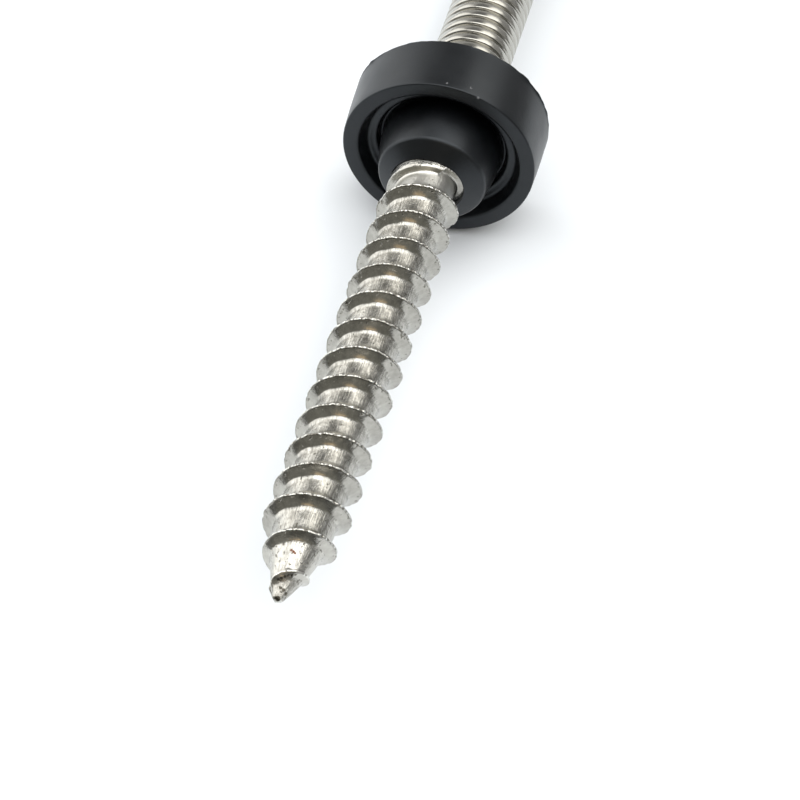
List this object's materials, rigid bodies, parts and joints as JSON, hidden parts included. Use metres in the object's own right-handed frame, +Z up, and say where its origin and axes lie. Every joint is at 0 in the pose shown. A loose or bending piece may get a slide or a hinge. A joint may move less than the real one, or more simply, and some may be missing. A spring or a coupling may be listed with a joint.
{
  "type": "hanger bolt",
  "caption": "Steel hanger bolt with a coarse lag thread and gimlet point at one end, a machine stud at the other, and a cupped rubber seal gripping the shank between them.",
  "frame": {"origin": "centre of the bounding box in plan, on the surface that the bolt lies on", "axes": "+X along the bolt from its point to its stud, in plan; +Z up. The bolt lies at rest on the seal's back edge and the stud's end, so its axis drops about 4.2 degrees towards +X"},
  "size_m": [0.1798, 0.0246, 0.0247],
  "materials": {
    "steel": "bare rolled stainless steel, semi-bright, with streaks and small nicks",
    "rubber": "matte moulded black rubber"
  },
  "bodies": {
    "root": {"hanger_bolt": "steel", "sealing_washer": "rubber"}
  },
  "joints": []
}
